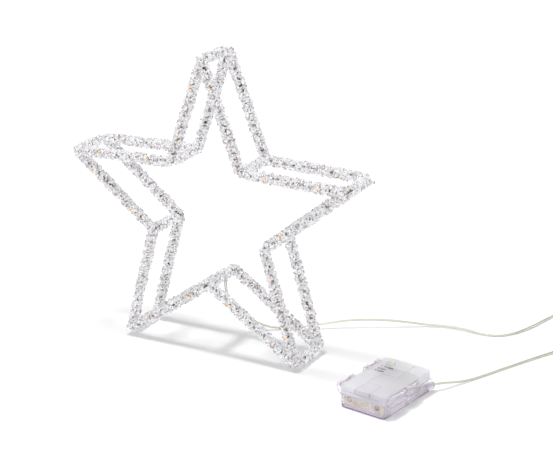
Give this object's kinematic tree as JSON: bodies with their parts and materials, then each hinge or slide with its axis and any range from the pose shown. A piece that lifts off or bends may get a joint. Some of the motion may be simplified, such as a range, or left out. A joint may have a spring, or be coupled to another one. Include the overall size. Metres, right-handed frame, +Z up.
{
  "type": "standing star light",
  "caption": "Standing five-pointed star light: two wire outlines wound with clear curls and LEDs, joined by cross rods, with a thin lead to a clear hinged battery box.",
  "frame": {"origin": "on the floor, under the star's centre, midway between its front and back outlines", "axes": "+X right across the star's face towards the battery box, +Y from the front outline to the back one, +Z up"},
  "size_m": [0.4627, 0.3213, 0.2906],
  "materials": {
    "clear_curls": "clear acrylic filament in bright curls",
    "frame_wire": "white-grey coated steel wire",
    "led_wire": "dark insulation",
    "led_lens": "warm moulded lens",
    "heat_shrink": "clear heat-shrink tube",
    "lead_insulation": "clear insulation over thin copper",
    "clear_case": "clear moulded plastic with a faint lavender tint",
    "seal_silicone": "translucent silicone",
    "pin_copper": "copper-coated",
    "contact_brass": "nickelled brass",
    "spring_steel": "plated spring steel",
    "board_green": "solder mask",
    "screw_steel": "zinc plated",
    "component_black": "moulded",
    "switch_grey": "moulded",
    "button_silicone": "translucent yellow-green",
    "gland_rubber": "translucent rubber",
    "wire_red": "insulation",
    "wire_black": "insulation"
  },
  "bodies": {
    "light": {"back_led_wire": "led_wire", "back_leds": "led_lens", "back_sleeve_01": "clear_curls", "back_sleeve_02": "clear_curls", "back_sleeve_03": "clear_curls", "back_sleeve_04": "clear_curls", "back_sleeve_05": "clear_curls", "back_sleeve_06": "clear_curls", "back_sleeve_07": "clear_curls", "back_sleeve_08": "clear_curls", "back_sleeve_09": "clear_curls", "back_sleeve_10": "clear_curls", "back_wire_frame": "frame_wire", "board_components": "component_black", "board_screws": "screw_steel", "box_base": "clear_case", "cable_gland": "gland_rubber", "cable_strand_a": "lead_insulation", "cable_strand_b": "lead_insulation", "cell_springs": "spring_steel", "circuit_board": "board_green", "cross_rods": "frame_wire", "front_bridge_contact": "contact_brass", "front_led_wire": "led_wire", "front_leds": "led_lens", "front_sleeve_01": "clear_curls", "front_sleeve_02": "clear_curls", "front_sleeve_03": "clear_curls", "front_sleeve_04": "clear_curls", "front_sleeve_05": "clear_curls", "front_sleeve_06": "clear_curls", "front_sleeve_07": "clear_curls", "front_sleeve_08": "clear_curls", "front_sleeve_09": "clear_curls", "front_sleeve_10": "clear_curls", "front_wire_frame": "frame_wire", "hinge_pins": "pin_copper", "lead_splice": "heat_shrink", "lead_tail_a": "lead_insulation", "lead_tail_b": "lead_insulation", "lid_gasket": "seal_silicone", "link_wire": "led_wire", "minus_contact": "contact_brass", "minus_wire": "wire_black", "notch_cross_sleeves": "clear_curls", "plus_contact": "contact_brass", "plus_wire": "wire_red", "rear_bridge_contact": "contact_brass", "switch_body": "switch_grey", "timer_chip": "component_black", "tip_cross_sleeves": "clear_curls"},
    "lid": {"box_lid": "clear_case"},
    "front_clip": {"front_clip": "clear_case"},
    "rear_clip": {"rear_clip": "clear_case"},
    "button": {"button_cap": "button_silicone"},
    "plunger": {"switch_plunger": "component_black"}
  },
  "joints": [
    {"name": "lid_hinge", "type": "hinge", "parent": "light", "child": "lid", "pos_m": [0.16359, -0.03302, 0.0184], "axis": [-0.1426, -0.9898, 0], "range_deg": [0, 150]},
    {"name": "front_clip_hinge", "type": "hinge", "parent": "lid", "child": "front_clip", "pos_m": [0.21402, -0.0609, 0.0184], "axis": [-0.1426, -0.9898, 0], "range_deg": [0, 75]},
    {"name": "rear_clip_hinge", "type": "hinge", "parent": "lid", "child": "rear_clip", "pos_m": [0.21751, -0.03675, 0.0184], "axis": [-0.1426, -0.9898, 0], "range_deg": [0, 75]},
    {"name": "button_slide", "type": "slide", "parent": "lid", "child": "button", "axis": [0, 0, -1], "range_m": [0, 0.0008], "stiffness_N_per_m": 200},
    {"name": "plunger_slide", "type": "slide", "parent": "light", "child": "plunger", "axis": [0, 0, -1], "range_m": [0, 0.00025]}
  ],
  "couplings": [
    {"joint": "plunger_slide", "follows": "button_slide", "ratio": 0.3125}
  ]
}
